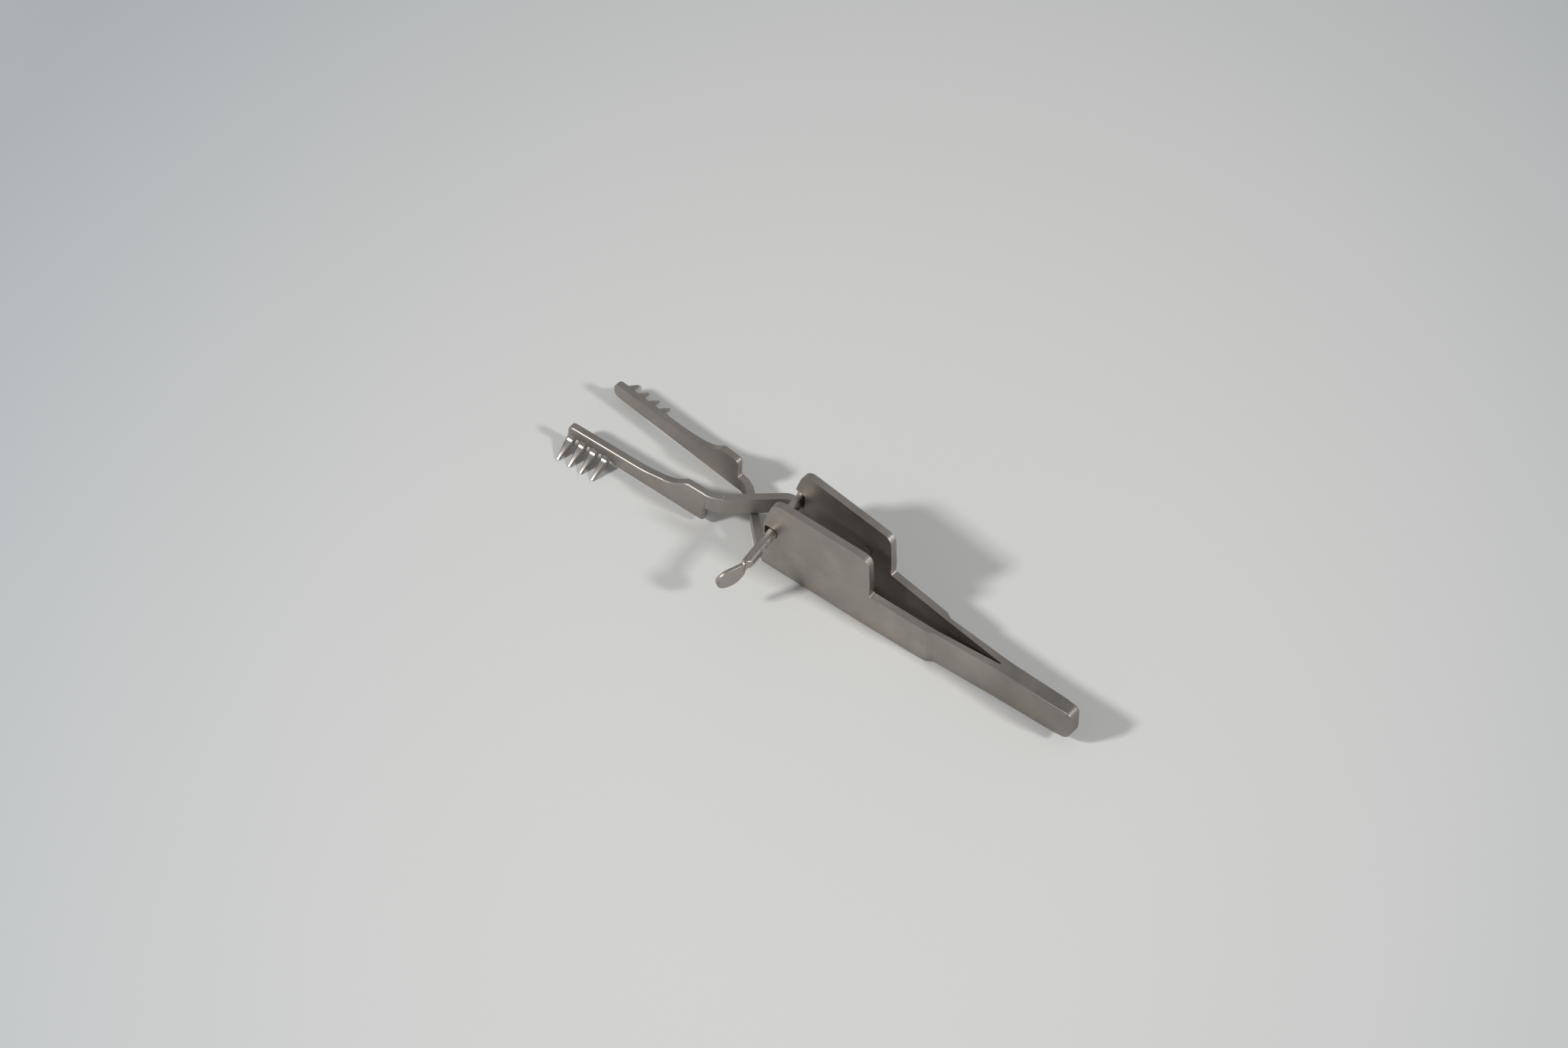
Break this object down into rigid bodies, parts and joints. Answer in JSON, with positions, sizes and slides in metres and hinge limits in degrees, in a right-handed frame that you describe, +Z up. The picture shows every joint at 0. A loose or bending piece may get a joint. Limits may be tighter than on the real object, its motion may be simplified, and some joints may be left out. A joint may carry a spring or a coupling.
{
  "type": "self-retaining retractor",
  "caption": "Small self-retaining skin retractor: sprung tweezers handle with crossing arms, clawed jaws that spread when squeezed, and a toothed ratchet bar.",
  "frame": {"origin": "on the table, below the middle of the whole instrument's box, as it lies at rest", "axes": "+X from the welded tail towards the jaws, +Y to the left, where the ratchet bar's paddle stands out, +Z up"},
  "size_m": [0.1102, 0.0304, 0.0191],
  "materials": {
    "steel": "glass-bead blasted stainless steel, satin grey",
    "bar_steel": "satin stainless steel, bright on the teeth",
    "spring_steel": "satin spring steel"
  },
  "bodies": {
    "tail": {"handle_tail": "steel"},
    "left": {"left_arm": "steel"},
    "right": {"right_arm": "steel", "leaf_spring": "spring_steel", "spring_rivet": "steel"},
    "ratchet": {"ratchet_bar": "bar_steel"}
  },
  "joints": [
    {"name": "left_squeeze", "type": "hinge", "parent": "tail", "child": "left", "pos_m": [-0.03277, -0.00247, 0], "axis": [0, 0, -1], "range_deg": [-3.75, 4.3]},
    {"name": "right_squeeze", "type": "hinge", "parent": "tail", "child": "right", "pos_m": [-0.03277, -0.00503, 0], "axis": [0, 0, 1], "range_deg": [-3.75, 4.3]},
    {"name": "ratchet_release", "type": "hinge", "parent": "right", "child": "ratchet", "pos_m": [0.01028, -0.00906, 0.0106], "axis": [0, 0, -1], "range_deg": [0, 1.5], "stiffness_Nm_per_rad": 0.01, "springref_deg": -2.86}
  ],
  "couplings": [
    {"joint": "right_squeeze", "follows": "left_squeeze", "ratio": 1}
  ]
}
